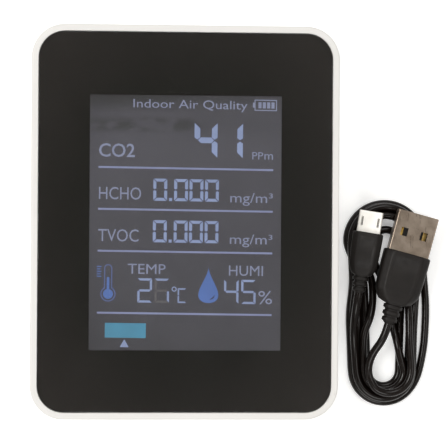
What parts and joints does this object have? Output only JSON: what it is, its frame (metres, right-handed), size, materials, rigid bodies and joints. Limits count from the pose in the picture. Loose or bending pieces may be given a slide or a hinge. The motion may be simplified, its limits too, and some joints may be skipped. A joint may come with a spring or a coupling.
{
  "type": "air quality monitor",
  "caption": "Flat desktop air quality monitor with a white case, black glass front and segment display, top-edge buttons, side USB socket and a loose charging lead.",
  "frame": {"origin": "centre of the flat back face that the monitor lies on", "axes": "+Z out of the screen, +Y to the top of the screen, +X to the screen's right"},
  "size_m": [0.1167, 0.11, 0.024],
  "materials": {
    "housing_white": "satin, fine mould texture",
    "front_glass": "polished",
    "black_ink": "matt ink",
    "black_tape": "matt foam tape",
    "polariser": "satin film",
    "display_glass": "polished",
    "backlight_white": "matt",
    "guide_acrylic": "polished",
    "flex_amber": "satin film",
    "board_green": "satin solder mask",
    "chip_black": "matt moulded resin",
    "connector_cream": "matt",
    "sensor_gold": "gold-coloured moulding",
    "sensor_white": "matt",
    "steel": "bright plated",
    "gold_contact": "gold flash",
    "mesh_grey": "fine woven mesh",
    "battery_foil": "satin pouch foil",
    "foam_grey": "matt foam",
    "wire_red": "satin insulation",
    "lead_black": "glossy flexible PVC",
    "plug_black": "satin overmould",
    "tongue_black": "matt"
  },
  "bodies": {
    "case": {"front_frame": "housing_white", "rear_cover": "housing_white", "dust_mesh": "mesh_grey", "case_screws": "steel", "board_screws": "steel", "front_lens": "front_glass", "border_print": "black_ink", "lens_tape": "black_tape", "lcd_polariser": "polariser", "lcd_front_glass": "display_glass", "lcd_rear_glass": "display_glass", "backlight_frame": "backlight_white", "light_guide": "guide_acrylic", "diffuser_sheet": "backlight_white", "lcd_flex": "flex_amber", "flex_connector": "connector_cream", "main_board": "board_green", "board_components": "chip_black", "microcontroller": "chip_black", "co2_sensor": "sensor_gold", "co2_membrane": "sensor_white", "hcho_sensor": "sensor_white", "hcho_mesh": "steel", "tvoc_sensor": "steel", "tvoc_mesh": "mesh_grey", "climate_sensor": "chip_black", "buzzer": "chip_black", "chamber_seal": "foam_grey", "usb_socket": "steel", "usb_tongue": "tongue_black", "power_switch": "chip_black", "mode_switch": "chip_black", "battery": "battery_foil", "battery_pad": "black_tape", "battery_connector": "connector_cream", "battery_wires": "wire_red"},
    "power_button": {"power_button_cap": "housing_white", "power_switch_plunger": "connector_cream"},
    "mode_button": {"mode_button_cap": "housing_white", "mode_switch_plunger": "connector_cream"},
    "charging_lead": {"lead_hank": "lead_black", "lead_micro_run": "lead_black", "lead_usb_a_run": "lead_black", "micro_plug_shell": "steel", "micro_plug_tongue": "tongue_black", "micro_plug_grip": "plug_black", "usb_a_shell": "steel", "usb_a_tongue": "tongue_black", "usb_a_contacts": "gold_contact", "usb_a_grip": "plug_black"}
  },
  "joints": [
    {"name": "power_button_press", "type": "slide", "parent": "case", "child": "power_button", "axis": [0, -1, 0], "range_m": [0, 0.0005], "stiffness_N_per_m": 500},
    {"name": "mode_button_press", "type": "slide", "parent": "case", "child": "mode_button", "axis": [0, -1, 0], "range_m": [0, 0.0005], "stiffness_N_per_m": 500},
    {"name": "lead_shift", "type": "slide", "parent": "case", "child": "charging_lead", "axis": [1, 0, 0], "range_m": [0, 0.04]}
  ]
}
